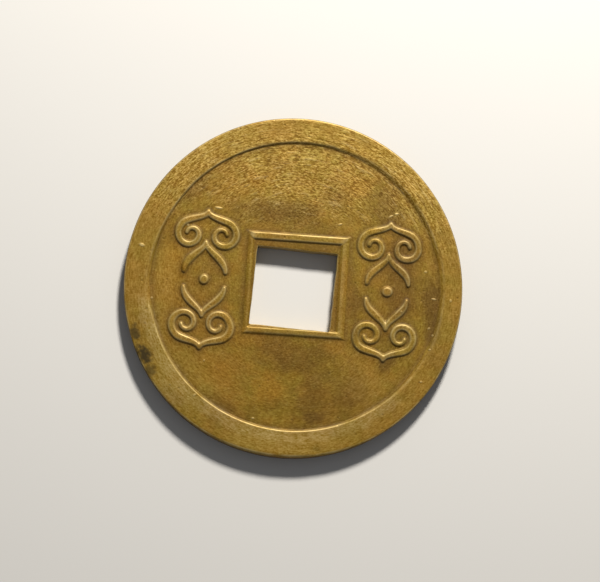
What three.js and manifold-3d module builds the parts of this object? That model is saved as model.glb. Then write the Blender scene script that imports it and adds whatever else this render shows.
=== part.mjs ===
// A round brass cash coin with a square hole. Both faces are struck with a raised rim,
// a raised square frame round the hole, and cloud scrolls on the sunk field between them.
// Millimetres, +Z up. The face with two tall columns of scrolls is up, and the origin is
// at the middle of the underside, on the plane where the lower rim rests.

import * as THREE from 'three';
import { mergeVertices } from 'three/addons/utils/BufferGeometryUtils.js';
import Module from 'manifold-3d';

const wasm = await Module();
wasm.setup();

// The flan: the round blank and its rims
const flanDiameter = 24.0;
const rimThickness = 1.25; // from the lower rim's flat to the upper rim's flat
const rimWidth = 1.81; // flat and rounded edge together
const edgeRounding = 0.22; // radius of the worn outer edge

// The relief, the same on both faces
const rimRelief = 0.15; // how deep the field lies below the rim
const reliefSetback = 0.02; // frame and scrolls stay this much lower than the rim
const wallSlope = 0.1; // how far a raised wall leans out from its top to its foot
const dieShiftX = 0.13; // the dies struck the flan slightly off its middle
const dieShiftY = 0.07;

// The square hole, punched a little askew in the frame
const holeSide = 5.6;
const holeCornerRadius = 0.18;
const holeTurnDegrees = -2.4;
const holeShiftX = -0.12; // from the middle of the struck design
const holeShiftY = -0.21;

// The raised square frame
const frameLedge = 0.22; // mean strip of field between hole and frame
const frameBar = 0.6; // width of a bar at its foot

// The scroll strokes, measured at the foot
const strokeWidth = 0.58;
const strokeTipWidth = 0.36;
const pelletRadius = 0.4;

// A cloud head: two volutes side by side, joined in a point
const voluteEye = 0.3; // radius at which a volute ends
const voluteTurns = 1.12;
const voluteGap = 0.07; // clear field between a volute's turns, at full stroke width
const voluteStartDegrees = 62; // where the stroke from the point joins the volute
const headMiddleGap = 0.1; // from the middle line to a volute's widest reach
const headPoint = 0.6; // how far the point stands beyond the volutes

// A sprig: a cloud head on two tendrils that spread out to its foot
const headRise = 3.15; // from the sprig's foot to the middle of its head
const tendrilRootGap = 0.53; // from the head's middle to the root of the tendrils
const tendrilSpread = 1.45; // from the middle line to a tendril's tip
const tendrilLift = 0.55; // from the sprig's foot line to a tendril's tip

// Where the sprigs stand
const columnGap = 0.36; // upper face: clear field between frame and column
const undersideFootGap = 0.58; // underside: from the frame to a sprig's foot
const undersidePelletRise = 0.75; // underside: from a sprig's foot to its pellet

// Smoothness
const roundSteps = 96; // round the flan
const edgeSteps = 4; // over one rounded edge
const cornerSteps = 3; // round one corner of the hole
const pointSteps = 4; // from a head's point to its volute
const voluteSteps = 20;
const tendrilSteps = 6;
const pelletSteps = 16;

// Values that follow from these
const flanRadius = flanDiameter / 2;
const rimInnerRadius = flanRadius - rimWidth;
const fieldHeight = rimThickness - rimRelief; // of the upper field, above the underside
const raisedHeight = rimRelief - reliefSetback;
const frameInner = holeSide / 2 + frameLedge;
const frameOuter = frameInner + frameBar;
const voluteReach = voluteEye + voluteTurns * (strokeWidth + voluteGap);
const voluteSpread = voluteReach + headMiddleGap;
const headHalfWidth = voluteSpread + voluteReach + strokeWidth / 2;
const columnDistance = frameOuter + columnGap + headHalfWidth;
const root = rimRelief; // raised metal is rooted this deep in the field, so that it joins

// A closed geometry as a solid: only its positions count, and faces without area go.
function solid(geometry) {
  const bare = geometry.clone();
  bare.deleteAttribute('normal');
  bare.deleteAttribute('uv');
  const merged = mergeVertices(bare, 1e-4);
  const corners = merged.index.array;
  const kept = [];
  for (let i = 0; i < corners.length; i += 3) {
    const [a, b, c] = [corners[i], corners[i + 1], corners[i + 2]];
    if (a !== b && b !== c && c !== a) kept.push(a, b, c);
  }
  const mesh = new wasm.Mesh({
    numProp: 3,
    vertProperties: merged.getAttribute('position').array,
    triVerts: new Uint32Array(kept),
  });
  return new wasm.Manifold(mesh);
}

// A solid back as a geometry that can be drawn.
function geometryOf(manifold) {
  const mesh = manifold.getMesh();
  const geometry = new THREE.BufferGeometry();
  geometry.setAttribute('position', new THREE.BufferAttribute(mesh.vertProperties, 3));
  geometry.setIndex(new THREE.BufferAttribute(mesh.triVerts, 1));
  geometry.computeVertexNormals();
  return geometry;
}

// A profile of [radius, height] points turned round the Z axis.
function turned(profile, steps) {
  const points = profile.map(([radius, height]) => new THREE.Vector2(radius, height));
  const geometry = new THREE.LatheGeometry(points, steps);
  geometry.rotateX(Math.PI / 2);
  return geometry;
}

// The same with flat sides along X and Y: each radius is half the side of a square.
function turnedSquare(profile) {
  const corners = profile.map(([half, height]) => [half * Math.SQRT2, height]);
  const geometry = turned(corners, 4);
  geometry.rotateZ(Math.PI / 4);
  return geometry;
}

// The blank: a disc with both edges rounded.
function flan() {
  const lowerEdge = [];
  for (let i = 0; i <= edgeSteps; i++) {
    const angle = (Math.PI / 2) * (i / edgeSteps);
    lowerEdge.push([
      flanRadius - edgeRounding * (1 - Math.sin(angle)),
      edgeRounding * (1 - Math.cos(angle)),
    ]);
  }
  const upperEdge = lowerEdge.map(([radius, height]) => [radius, rimThickness - height]);
  const profile = [[0, 0], ...lowerEdge, ...upperEdge.reverse(), [0, rimThickness]];
  return solid(turned(profile, roundSteps));
}

// What is taken away above a field at height 0, with a sloping wall at the rim.
function fieldCut() {
  const clear = 2 * rimRelief;
  const profile = [
    [0, 0],
    [rimInnerRadius - wallSlope, 0],
    [rimInnerRadius, rimRelief],
    [rimInnerRadius, clear],
    [0, clear],
  ];
  return solid(turned(profile, roundSteps));
}

// The square frame, mitred at its corners, on a field at height 0.
function frame() {
  const profile = [
    [frameInner, -root],
    [frameOuter, -root],
    [frameOuter, 0],
    [frameOuter - wallSlope, raisedHeight],
    [frameInner + wallSlope, raisedHeight],
    [frameInner, 0],
    [frameInner, -root],
  ];
  return solid(turnedSquare(profile));
}

// The punched hole: a square with rounded corners, through the whole thickness.
function holeCut() {
  const half = holeSide / 2;
  const turn = half - holeCornerRadius;
  const outline = new THREE.Shape();
  outline.moveTo(half, -turn);
  outline.absarc(turn, turn, holeCornerRadius, 0, Math.PI / 2);
  outline.absarc(-turn, turn, holeCornerRadius, Math.PI / 2, Math.PI);
  outline.absarc(-turn, -turn, holeCornerRadius, Math.PI, 1.5 * Math.PI);
  outline.absarc(turn, -turn, holeCornerRadius, 1.5 * Math.PI, 2 * Math.PI);
  const geometry = new THREE.ExtrudeGeometry(outline, {
    depth: 3 * rimThickness,
    bevelEnabled: false,
    curveSegments: cornerSteps,
  });
  geometry.rotateZ(THREE.MathUtils.degToRad(holeTurnDegrees));
  geometry.translate(dieShiftX + holeShiftX, dieShiftY + holeShiftY, -rimThickness);
  return solid(geometry);
}

// A raised stroke with sloping walls along a route of points, on a field at height 0.
// Its width runs from startWidth to the full stroke width at the share "swell" of its
// length, and from there to the tip width.
function stroke(route, startWidth, swell) {
  const lengths = [0];
  for (let i = 1; i < route.length; i++) {
    lengths.push(lengths[i - 1] + route[i].distanceTo(route[i - 1]));
  }
  const whole = lengths[lengths.length - 1];
  const positions = [];
  route.forEach((point, i) => {
    const before = route[Math.max(i - 1, 0)];
    const after = route[Math.min(i + 1, route.length - 1)];
    const along = after.clone().sub(before).normalize();
    const share = lengths[i] / whole;
    const width =
      share < swell
        ? THREE.MathUtils.lerp(startWidth, strokeWidth, Math.sin((Math.PI / 2) * (share / swell)))
        : THREE.MathUtils.lerp(
            strokeTipWidth,
            strokeWidth,
            Math.cos((Math.PI / 2) * ((share - swell) / (1 - swell))),
          );
    const foot = width / 2;
    const top = Math.max(foot - wallSlope, foot / 3);
    const base = foot + (foot - top) * (root / raisedHeight);
    const section = [
      [-base, -root],
      [base, -root],
      [top, raisedHeight],
      [-top, raisedHeight],
    ];
    for (const [side, height] of section) {
      positions.push(point.x - side * along.y, point.y + side * along.x, height);
    }
  });
  const faces = [];
  for (let i = 0; i < route.length - 1; i++) {
    for (let k = 0; k < 4; k++) {
      const a = 4 * i + k;
      const b = 4 * i + ((k + 1) % 4);
      faces.push(a, b, a + 4, b, b + 4, a + 4);
    }
  }
  const last = 4 * (route.length - 1);
  faces.push(0, 2, 1, 0, 3, 2);
  faces.push(last, last + 1, last + 2, last, last + 2, last + 3);
  const geometry = new THREE.BufferGeometry();
  geometry.setAttribute('position', new THREE.Float32BufferAttribute(positions, 3));
  geometry.setIndex(faces);
  return solid(geometry);
}

// Both mirror halves of a stroke, one on each side of the line x = 0.
function mirroredStrokes(route, startWidth, swell) {
  const other = route.map((point) => new THREE.Vector2(-point.x, point.y));
  return stroke(route, startWidth, swell).add(stroke(other, startWidth, swell));
}

// The route of a volute, from its outer end in to its eye.
function voluteRoute() {
  const points = [];
  for (let i = 0; i <= voluteSteps; i++) {
    const share = i / voluteSteps;
    const angle = THREE.MathUtils.degToRad(voluteStartDegrees - 360 * voluteTurns * share);
    const radius = THREE.MathUtils.lerp(voluteReach, voluteEye, share);
    points.push(
      new THREE.Vector2(
        voluteSpread + radius * Math.cos(angle),
        headRise + radius * Math.sin(angle),
      ),
    );
  }
  return points;
}

// The route from a head's point, down and out like the side of an onion dome, to the
// start of its volute.
function pointRoute(joint) {
  const angle = THREE.MathUtils.degToRad(voluteStartDegrees);
  const tip = headRise + voluteReach + headPoint;
  const curve = new THREE.CubicBezierCurve(
    new THREE.Vector2(0, tip),
    new THREE.Vector2(voluteReach * 0.08, tip - headPoint * 0.7),
    new THREE.Vector2(
      joint.x - voluteReach * 0.54 * Math.sin(angle),
      joint.y + voluteReach * 0.54 * Math.cos(angle),
    ),
    joint,
  );
  return curve.getPoints(pointSteps);
}

// A sprig that points along +Y, with its foot at the origin.
function sprig() {
  const volute = voluteRoute();
  const head = [...pointRoute(volute[0]).slice(0, -1), ...volute];
  const rootHeight = headRise - tendrilRootGap;
  const tendril = new THREE.CubicBezierCurve(
    new THREE.Vector2(0, rootHeight),
    new THREE.Vector2(tendrilSpread * 0.07, tendrilLift + (rootHeight - tendrilLift) * 0.65),
    new THREE.Vector2(tendrilSpread * 0.93, tendrilLift + (rootHeight - tendrilLift) * 0.5),
    new THREE.Vector2(tendrilSpread, tendrilLift),
  );
  return mirroredStrokes(head, strokeWidth * 0.72, 0.3).add(
    mirroredStrokes(tendril.getPoints(tendrilSteps), strokeTipWidth, 0.6),
  );
}

// A round pellet on a field at height 0.
function pellet() {
  const profile = [
    [0, -root],
    [pelletRadius, -root],
    [pelletRadius, 0],
    [pelletRadius - wallSlope, raisedHeight],
    [0, raisedHeight],
  ];
  return solid(turned(profile, pelletSteps));
}

// Upper face: on each side of the frame two sprigs foot to foot, with a pellet between.
function upperScrolls() {
  const column = sprig().add(sprig().rotate([0, 0, 180])).add(pellet());
  return column
    .translate([columnDistance, 0, 0])
    .add(column.translate([-columnDistance, 0, 0]));
}

// Underside: one sprig and one pellet on each of the frame's four sides.
function undersideScrolls() {
  const side = sprig()
    .add(pellet().translate([0, undersidePelletRise, 0]))
    .translate([0, frameOuter + undersideFootGap, 0]);
  return [90, 180, 270].reduce((joined, turn) => joined.add(side.rotate([0, 0, turn])), side);
}

// What a die takes away from the flan: the field, but not what stands on it.
function strike(scrolls) {
  return fieldCut().subtract(frame()).subtract(scrolls);
}

const upperStrike = strike(upperScrolls()).translate([dieShiftX, dieShiftY, fieldHeight]);
const lowerStrike = strike(undersideScrolls())
  .rotate([180, 0, 0])
  .translate([dieShiftX, dieShiftY, rimRelief]);
const coin = flan().subtract(upperStrike).subtract(lowerStrike).subtract(holeCut());

const agedBrass = new THREE.MeshStandardMaterial({
  color: 0x927237,
  roughness: 0.45,
  metalness: 0.9,
});
const coinMesh = new THREE.Mesh(geometryOf(coin), agedBrass);
coinMesh.name = 'cash_coin';

const part = new THREE.Group();
part.add(coinMesh);

export default part;
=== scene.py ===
"""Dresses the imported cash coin: its struck, punched and worn metal, its patina, and a plain stage.

The file is laid out as an add-on. Lengths in its settings are in metres, as all of Blender's
are. The coin's mesh is worked out in millimetres and brought to metres at the end.
"""

import math
from collections import namedtuple
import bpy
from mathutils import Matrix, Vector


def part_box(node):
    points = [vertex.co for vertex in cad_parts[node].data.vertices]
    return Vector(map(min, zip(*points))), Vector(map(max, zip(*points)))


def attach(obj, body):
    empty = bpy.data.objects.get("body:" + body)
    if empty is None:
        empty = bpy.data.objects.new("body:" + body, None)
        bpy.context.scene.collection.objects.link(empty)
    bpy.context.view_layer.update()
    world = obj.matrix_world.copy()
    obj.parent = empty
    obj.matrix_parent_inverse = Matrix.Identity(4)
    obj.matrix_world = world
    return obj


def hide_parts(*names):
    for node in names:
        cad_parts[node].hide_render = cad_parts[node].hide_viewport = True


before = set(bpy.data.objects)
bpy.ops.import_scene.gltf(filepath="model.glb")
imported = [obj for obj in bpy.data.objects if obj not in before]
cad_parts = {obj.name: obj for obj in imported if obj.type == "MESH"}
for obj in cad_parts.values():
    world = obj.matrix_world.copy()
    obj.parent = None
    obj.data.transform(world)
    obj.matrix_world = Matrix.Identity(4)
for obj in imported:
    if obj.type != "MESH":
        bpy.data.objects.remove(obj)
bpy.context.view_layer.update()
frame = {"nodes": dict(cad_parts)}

from types import SimpleNamespace

import bmesh
import bpy
import numpy as np
from bpy.props import FloatProperty, FloatVectorProperty, PointerProperty
from mathutils import Quaternion, Vector

bl_info = {
    "name": "Cash Coin",
    "version": (1, 0, 0),
    "blender": (4, 5, 0),
    "location": "View3D > Sidebar > Cash Coin",
    "description": "Builds a worn brass cash coin with a square hole, and a plain stage for it",
    "category": "Add Mesh",
}

MM = 0.001  # one millimetre in metres
COIN_LOW, COIN_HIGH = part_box("cash_coin")

# Fineness of the coin's mesh
COLUMNS = 384  # round the coin; a multiple of 8 puts one on each corner of a square
FIELD_ROWS = 52  # from the frame out to the rim
RIM_ROWS = 9  # over the flat of the rim
LEDGE_ROWS = 2  # between the hole and the frame
EDGE_ROWS = 5  # over the rounded outer edge
HOLE_EDGE_ROWS = 4  # over the rounded edge of the hole
WALL_ROWS = 4  # down an upright wall
WALL_STEPS = (-0.07, -0.03, 0.005, 0.04, 0.075, 0.11, 0.155, 0.21)  # inside a foot line, in mm
CONTOURS = (-0.05, -0.015, 0.02, 0.055, 0.095, 0.145)  # cuts inside a scroll's foot line, in mm
CUT_TOLERANCE = 0.012  # a mesh point this near to a cut counts as on it, in mm
ROW_GAP = 0.012  # least distance between rows that the hole pushes together, in mm
POINT_STEPS = 8  # along a stroke from a head's point to its volute
VOLUTE_STEPS = 44
TENDRIL_STEPS = 14

# How the scroll strokes swell: the share of the way at which a stroke is widest
HEAD_SWELL = 0.3
TENDRIL_SWELL = 0.6
HEAD_POINT_WIDTH = 0.72  # of a head's stroke at its point, as a share of its full width

# Handles of the scrolls' curves
POINT_OUT = 0.08  # a head's first handle beside its middle line, in a volute's reaches
POINT_DOWN = 0.7  # and below its point, as a share of the point's height
JOINT_BACK = 0.54  # its second handle from the joint with the volute, in a volute's reaches
ROOT_HANDLE = (0.07, 0.65)  # a tendril's first handle: shares of its spread and of its drop
TIP_HANDLE = (0.93, 0.5)  # its second one

# Seeds of what is uneven
FIELD_SEED = 11
STROKE_SEED = 23
HOLE_SEED = 37
SECOND_DIRECTION = 10  # added to a seed for the strokes' straying along Y
RIM_WEAR = 20  # added to the field's seed for the wear of its rim

# The waves of what is uneven
WAVES = 9  # how many cross each other
WAVE_SPREAD = (0.7, 1.6)  # the shortest and the longest, as shares of the length asked for
HAND_WAVE = 3.1  # length of the die cutter's straying, in mm
HOLE_WAVE = 1.7  # length of the punched walls' waves, in mm

UV_NAME = "OFBake"
UV_MARGIN = 0.01

# A patch of colour on the upper face: its middle, its reach along and across, its turn in
# degrees, and how strongly it covers
Patch = namedtuple("Patch", "x y along across turn strength")

BROWN_CLOUDS = (
    Patch(-0.9, 5.3, 3.3, 1.1, 2, 1.0),
    Patch(2.7, 6.3, 1.3, 1.0, 0, 0.55),
    Patch(7.7, 1.2, 4.2, 1.5, 90, 0.75),
    Patch(6.3, 5.9, 2.4, 1.4, -45, 0.8),
    Patch(-7.4, 6.4, 1.5, 0.7, 48, 0.75),
    Patch(0.7, -5.1, 2.4, 1.3, 10, 0.75),
    Patch(1.9, -7.6, 2.5, 1.5, 60, 0.7),
    Patch(1.7, -9.0, 1.1, 0.7, 10, 0.95),
    Patch(4.2, -7.3, 2.2, 1.3, 30, 0.6),
    Patch(6.7, -5.1, 0.9, 0.6, 40, 0.8),
    Patch(-4.4, -8.5, 1.5, 0.6, -35, 0.5),
    Patch(9.75, -1.0, 3.0, 0.75, 95, 0.95),
    Patch(-0.3, -4.3, 3.0, 0.7, -2, 0.6),
    Patch(0.6, 4.5, 2.6, 0.6, -2, 0.6),
    Patch(4.35, -0.9, 2.6, 0.5, 92, 0.75),
    Patch(-7.7, -8.5, 1.3, 0.6, -45, 0.45),
    Patch(-3.9, 5.2, 1.4, 1.0, 0, 0.5),
)
ORANGE_PATCHES = (
    Patch(-8.6, 0.2, 3.6, 1.0, 93, 0.6),
    Patch(-1.4, -7.3, 1.6, 1.2, 65, 0.6),
    Patch(-4.9, -6.3, 1.7, 1.1, -35, 0.55),
    Patch(-3.3, -3.9, 1.5, 0.9, 0, 0.45),
    Patch(4.2, 7.5, 1.3, 0.9, 0, 0.5),
    Patch(-2.7, 7.4, 1.2, 0.7, 0, 0.4),
    Patch(3.6, 10.2, 1.8, 0.8, -18, 0.4),
)
RUBBED_PATCHES = (
    Patch(-0.3, -11.0, 5.0, 0.9, 3, 0.9),
    Patch(-9.0, -0.6, 3.2, 1.0, 92, 0.5),
    Patch(-8.7, -5.2, 3.6, 0.8, 116, 0.5),
    Patch(-7.0, 9.1, 2.6, 0.8, 38, 0.6),
    Patch(7.0, 8.8, 2.4, 0.8, -40, 0.5),
    Patch(5.4, -6.4, 2.0, 1.2, -20, 0.4),
    Patch(-6.2, -6.8, 2.4, 1.2, -40, 0.35),
)
PALE_PATCHES = (
    Patch(-8.1, -7.9, 1.8, 0.7, -46, 0.6),
)
BLACK_STAINS = (
    Patch(-10.8, -4.0, 0.65, 0.38, 105, 0.85),
    Patch(-10.05, -5.5, 0.85, 0.52, 118, 1.0),
    Patch(-9.55, -6.5, 0.6, 0.42, 120, 0.7),
)
# Where the grain stands higher, and where painted glints, stronger grain sparkle and a yellow sheen
# are laid on, mostly over the upper half towards the key light
GRAIN_AND_GLINT_PATCHES = (
    Patch(0.2, 8.3, 9.2, 4.0, 0, 1.0),
    Patch(7.8, 7.2, 4.8, 2.2, -45, 1.0),
    Patch(-7.6, 7.6, 4.5, 1.8, 45, 0.95),
)
# Small nicks: their raised bump is real, their bright colour is a painted glint
NICKS_AND_GLINTS = (
    Patch(-5.6, 5.2, 0.3, 0.08, -5, 0.9),
    Patch(-7.68, 3.85, 0.11, 0.1, 0, 0.9),
    Patch(-10.78, 2.18, 0.22, 0.13, -15, 0.9),
    Patch(3.0, 4.64, 0.16, 0.08, 20, 0.7),
    Patch(6.52, 5.46, 0.2, 0.07, 30, 0.8),
    Patch(6.92, 5.66, 0.16, 0.08, 10, 0.9),
    Patch(9.2, 1.7, 0.12, 0.1, 0, 0.6),
    Patch(9.88, -0.2, 0.2, 0.07, -5, 0.7),
    Patch(7.64, -1.25, 0.09, 0.08, 0, 0.5),
    Patch(11.06, -0.24, 0.1, 0.12, 0, 0.6),
    Patch(9.64, -2.29, 0.12, 0.08, 30, 0.6),
    Patch(9.91, -2.76, 0.09, 0.09, 0, 0.5),
    Patch(9.76, -3.78, 0.1, 0.07, 0, 0.6),
    Patch(9.29, -6.07, 0.12, 0.08, 10, 0.6),
    Patch(-6.39, -8.06, 0.13, 0.09, 40, 0.7),
    Patch(-2.24, -9.38, 0.12, 0.08, 0, 0.7),
    Patch(-5.89, -5.59, 0.1, 0.08, 60, 0.5),
    Patch(-9.82, -1.47, 0.09, 0.09, 0, 0.5),
)
SMOOTH_PATCHES = (
    Patch(1.0, -11.0, 7.5, 1.6, 5, 1.0),
    Patch(-4.0, 3.7, 3.0, 2.0, 0, 0.6),
)

# Painted highlight: pale stretches along the inner edge of the rim's lower half, whose inner wall
# faces the key light
LIP_TURNS = (200, 221, 242, 263, 284, 303)  # their directions from the middle in degrees
LIP_INSET = 0.32  # from the top of the rim's inner wall to their middle line, in mm
LIP_REACH = (2.6, 0.6)  # along and across, in mm

# How much further out the four sides of the frame's foot lines stand than on the plan, in mm
Sides = namedtuple("Sides", "east north west south")

FRAME_INNER_SHIFTS = Sides(-0.06, 0.05, 0, 0)
FRAME_OUTER_SHIFTS = Sides(0.055, 0.07, -0.03, -0.03)

# How far the walls lean out on each side, in mm: wear has flattened some of them
FRAME_INNER_SLOPES = Sides(0.22, 0.1, 0.25, 0.1)
FRAME_OUTER_SLOPES = Sides(0.35, 0.1, 0.35, 0.15)

# The same for the rim's inner wall, by the direction from the middle in degrees
RIM_SLOPES = (
    (0, 0.35),
    (10, 0.35),
    (20, 0.22),
    (36, 0.2),
    (50, 0.25),
    (66, 0.19),
    (78, 0.15),
    (100, 0.12),
    (120, 0.09),
    (150, 0.08),
    (166, 0.15),
    (174, 0.25),
    (182, 0.4),
    (189, 0.28),
    (196, 0.1),
    (300, 0.1),
    (325, 0.2),
    (345, 0.35),
    (360, 0.35),
)

# Where dirt with painted shade, bare wear with painted highlight, and painted shade in hollows lie
# on a raised wall: a depth inside its foot line and a reach, in mm
Band = namedtuple("Band", "depth reach")

FOOT_DIRT_AND_SHADE = Band(-0.02, 0.05)
BARE_AND_HIGHLIGHT_TOP = Band(0.1, 0.06)
SHADED_HOLLOW = Band(0, 0.3)
HOLLOW_ENDS = 0.03  # the same depth, from which on a wall is no hollow any more
RAISED_RISE = (0.02, 0.1)  # depths between which a wall comes to count as raised

# How far down the rounded outer edge its bare metal and painted highlight fade and its painted shade
# begins, as shares
BARE_AND_HIGHLIGHT_FADE = (0.1, 0.5)
SIDE_SHADE_RISE = (0.2, 0.8)

# Larger marks in the metal: middle, radius and depth, in mm
Dent = namedtuple("Dent", "x y radius depth")

UPPER_DENTS = (
    Dent(2.28, -11.42, 0.2, 0.09),
    Dent(-8.98, 3.45, 0.17, 0.03),
    Dent(8.1, -7.5, 0.22, 0.03),
    Dent(10.8, 1.0, 0.2, 0.02),
)

# How strongly the grain's light and dark change red, green and blue: partly grain tone, partly
# painted sparkle, so its light side is paler
GRAIN_LIGHT = (0.87, 1.12, 3.0)
DARKEST_GRAIN = -0.45
LEAST_LIGHT = (0.1, 0.1, 0.1)

# Tints that vary the patina over about a millimetre
GREENER = (0.94, 1.0, 0.85, 1.0)
REDDER = (1.0, 0.95, 0.98, 1.0)

# Cloudy variation: its size in mm, and the noise values between which it comes in
Cloud = namedtuple("Cloud", "size low high")

TONE_CLOUDS = Cloud(3.4, 0.38, 0.62)
TINT_CLOUDS = Cloud(0.8, 0.42, 0.58)
ORANGE_CLOUDS = Cloud(1.5, 0.46, 0.66)
DARK_CLOUDS = Cloud(2.0, 0.5, 0.7)
DIRT_AND_SHADE_CLOUDS = Cloud(0.9, 0.35, 0.65)
BARE_AND_HIGHLIGHT_CLOUDS = Cloud(1.3, 0.3, 0.6)
CLOUD_DEPTH = 7  # how many times faster they change with height than across a face

PATCH_FADE = (0.35, 1.25)  # where a patch's cover fades, in its reaches
PATCH_DEPTH = 0.7  # how far a patch reaches below and above its face, in mm

# Strokes that run round the coin, and the grain
STROKE_RADIUS = 8  # where a stroke has its true length, in mm
RISE_SHARE = 0.9  # how much a rise counts beside the distance from the middle
LIGHT_STROKES = (0.58, 0.7)  # noise values between which they come in
DARK_STROKES = (0.42, 0.3)
GRAIN_LENGTH = 3.0  # how much longer than wide the grain's strokes are
GRAIN_STRETCH = (0.6, 1.0, 1.0)  # the rest of the grain lies along X
GRAIN_PITCH = 0.55  # its noise cells within the grain's width
GRAIN_TONES = (0.34, 0.66)  # noise values of its darkest and lightest
# The bright specks are painted glints
GRAIN_GLINTS = (0.6, 0.72)  # and those between which bright specks come in
NO_PITS = 0.55  # share of the pits' cells that stay without one

# The node editor's layout
NODE_WIDTH = 220
NODE_HEIGHT = 260
NODES_IN_ROW = 14

# The camera
SENSOR_WIDTH = 36  # in mm, as Blender wants it
CLIP_START = 5 * MM


def linear(red, green, blue):
    """An sRGB colour of 0 to 255 as linear values."""
    shares = [value / 255 for value in (red, green, blue)]
    return tuple(s / 12.92 if s <= 0.04045 else ((s + 0.055) / 1.055) ** 2.4 for s in shares)


# Settings


def length(name, millimetres, description):
    """A length, written here in millimetres and kept in metres."""
    return FloatProperty(
        name=name,
        description=description,
        default=millimetres * MM,
        unit="LENGTH",
        subtype="DISTANCE",
        precision=5,
    )


def angle(name, degrees, description):
    """An angle, written here in degrees and kept in radians."""
    return FloatProperty(
        name=name,
        description=description,
        default=math.radians(degrees),
        unit="ROTATION",
        subtype="ANGLE",
    )


def share(name, default, description):
    """A share from 0 to 1."""
    return FloatProperty(
        name=name, description=description, default=default, min=0, max=1, subtype="FACTOR"
    )


def number(name, default, description):
    """A plain number."""
    return FloatProperty(name=name, description=description, default=default)


def colour(name, default, description):
    """A colour in linear values."""
    return FloatVectorProperty(
        name=name, description=description, default=default, min=0, max=1, subtype="COLOR"
    )


class CoinSizes(bpy.types.PropertyGroup):
    """The flan, the strike, the frame and the hole."""

    diameter: length("Diameter", (COIN_HIGH.x - COIN_LOW.x) / MM, "Across the flan")
    thickness: length("Thickness", (COIN_HIGH.z - COIN_LOW.z) / MM, "From rim to rim")
    rim_width: length("Rim width", 1.81, "Flat and rounded edge together")
    edge_rounding: length("Edge rounding", 0.12, "Least radius of the outer edge")
    edge_worn: length("Worn edge", 0.15, "How much more it is rounded where it is worn most")
    edge_turn: angle("Worn most at", -92, "Direction in which the outer edge is worn most")
    edge_reach: share("Worn reach", 0.12, "How far round the coin that wear reaches")
    out_of_round: length("Out of round", 0.13, "How much the narrowest half width falls short")
    narrow_turn: angle("Narrowest at", 2, "Direction in which the flan is narrowest")
    squareness: length("Squareness", 0.01, "How much the flan falls short between its corners")
    relief: length("Relief", 0.15, "How deep the field lies below the rim")
    setback: length("Setback", 0.02, "Frame and scrolls stay this much lower than the rim")
    wall_slope: length("Wall slope", 0.1, "How far a raised wall leans out to its foot")
    die_x: length("Die X", 0.13, "The struck design's shift from the middle of the flan")
    die_y: length("Die Y", 0.07, "The struck design's shift from the middle of the flan")
    hole_width: length("Hole width", 5.66, "From the hole's left wall to its right one")
    hole_height: length("Hole height", 5.55, "From the hole's lower wall to its upper one")
    hole_corner: length("Hole corner", 0.09, "Radius of the hole's corners")
    hole_edge: length("Hole edge", 0.06, "Rounding where the hole meets a face")
    hole_turn: angle("Hole turn", -2.4, "How far the hole is askew in the frame")
    hole_x: length("Hole X", -0.12, "The hole's shift from the middle of the design")
    hole_y: length("Hole Y", -0.22, "The hole's shift from the middle of the design")
    frame: length("Frame", 6.04, "Side of the square inside the frame, at the bars' feet")
    bar: length("Frame bar", 0.6, "Width of a frame bar at its foot")


class ScrollSizes(bpy.types.PropertyGroup):
    """The cloud scrolls on both faces."""

    stroke: length("Stroke width", 0.58, "Width of a stroke at its foot")
    tip: length("Tip width", 0.36, "Width of a stroke at its tips")
    pellet: length("Pellet radius", 0.4, "Radius of a pellet at its foot")
    eye: length("Volute eye", 0.3, "Radius at which a volute ends")
    turns: number("Volute turns", 1.12, "How many times a volute goes round")
    turn_gap: length("Volute gap", 0.07, "Clear field between turns of full width")
    start: angle("Volute start", 62, "Where the stroke from the point joins the volute")
    middle_gap: length("Middle gap", 0.1, "From the middle line to a volute's widest reach")
    point: length("Point", 0.6, "How far the head's point stands beyond the volutes")
    rise: length("Head rise", 3.15, "From the sprig's foot to the middle of its head")
    root_gap: length("Tendril root", 0.53, "From the head's middle to the tendrils' root")
    spread: length("Tendril spread", 1.45, "From the middle line to a tendril's tip")
    lift: length("Tendril lift", 0.55, "From the foot line to a tendril's tip")
    column_gap: length("Column gap", 0.36, "Clear field between the frame and a column")
    underside_foot: length("Underside foot gap", 0.58, "From the frame to a sprig's foot")
    underside_pellet: length("Underside pellet", 0.75, "From a sprig's foot to its pellet")


class WearAmounts(bpy.types.PropertyGroup):
    """How uneven the struck metal is."""

    field: length("Field unevenness", 0.007, "Height of the low waves of both fields")
    field_wave: length("Field wave", 2.6, "Length of those waves")
    rim: length("Rim wear", 0.006, "How deep the rims' flats are worn in places")
    hand: length("Hand cut", 0.03, "How far the die cutter's strokes stray")
    hole: length("Hole waviness", 0.016, "How far the punched walls stray")
    crown: share("Crown", 0.08, "How far a raised form is rounded towards its edges")
    soft: length("Softness", 0.035, "How far a raised wall's foot and top are rounded")


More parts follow.
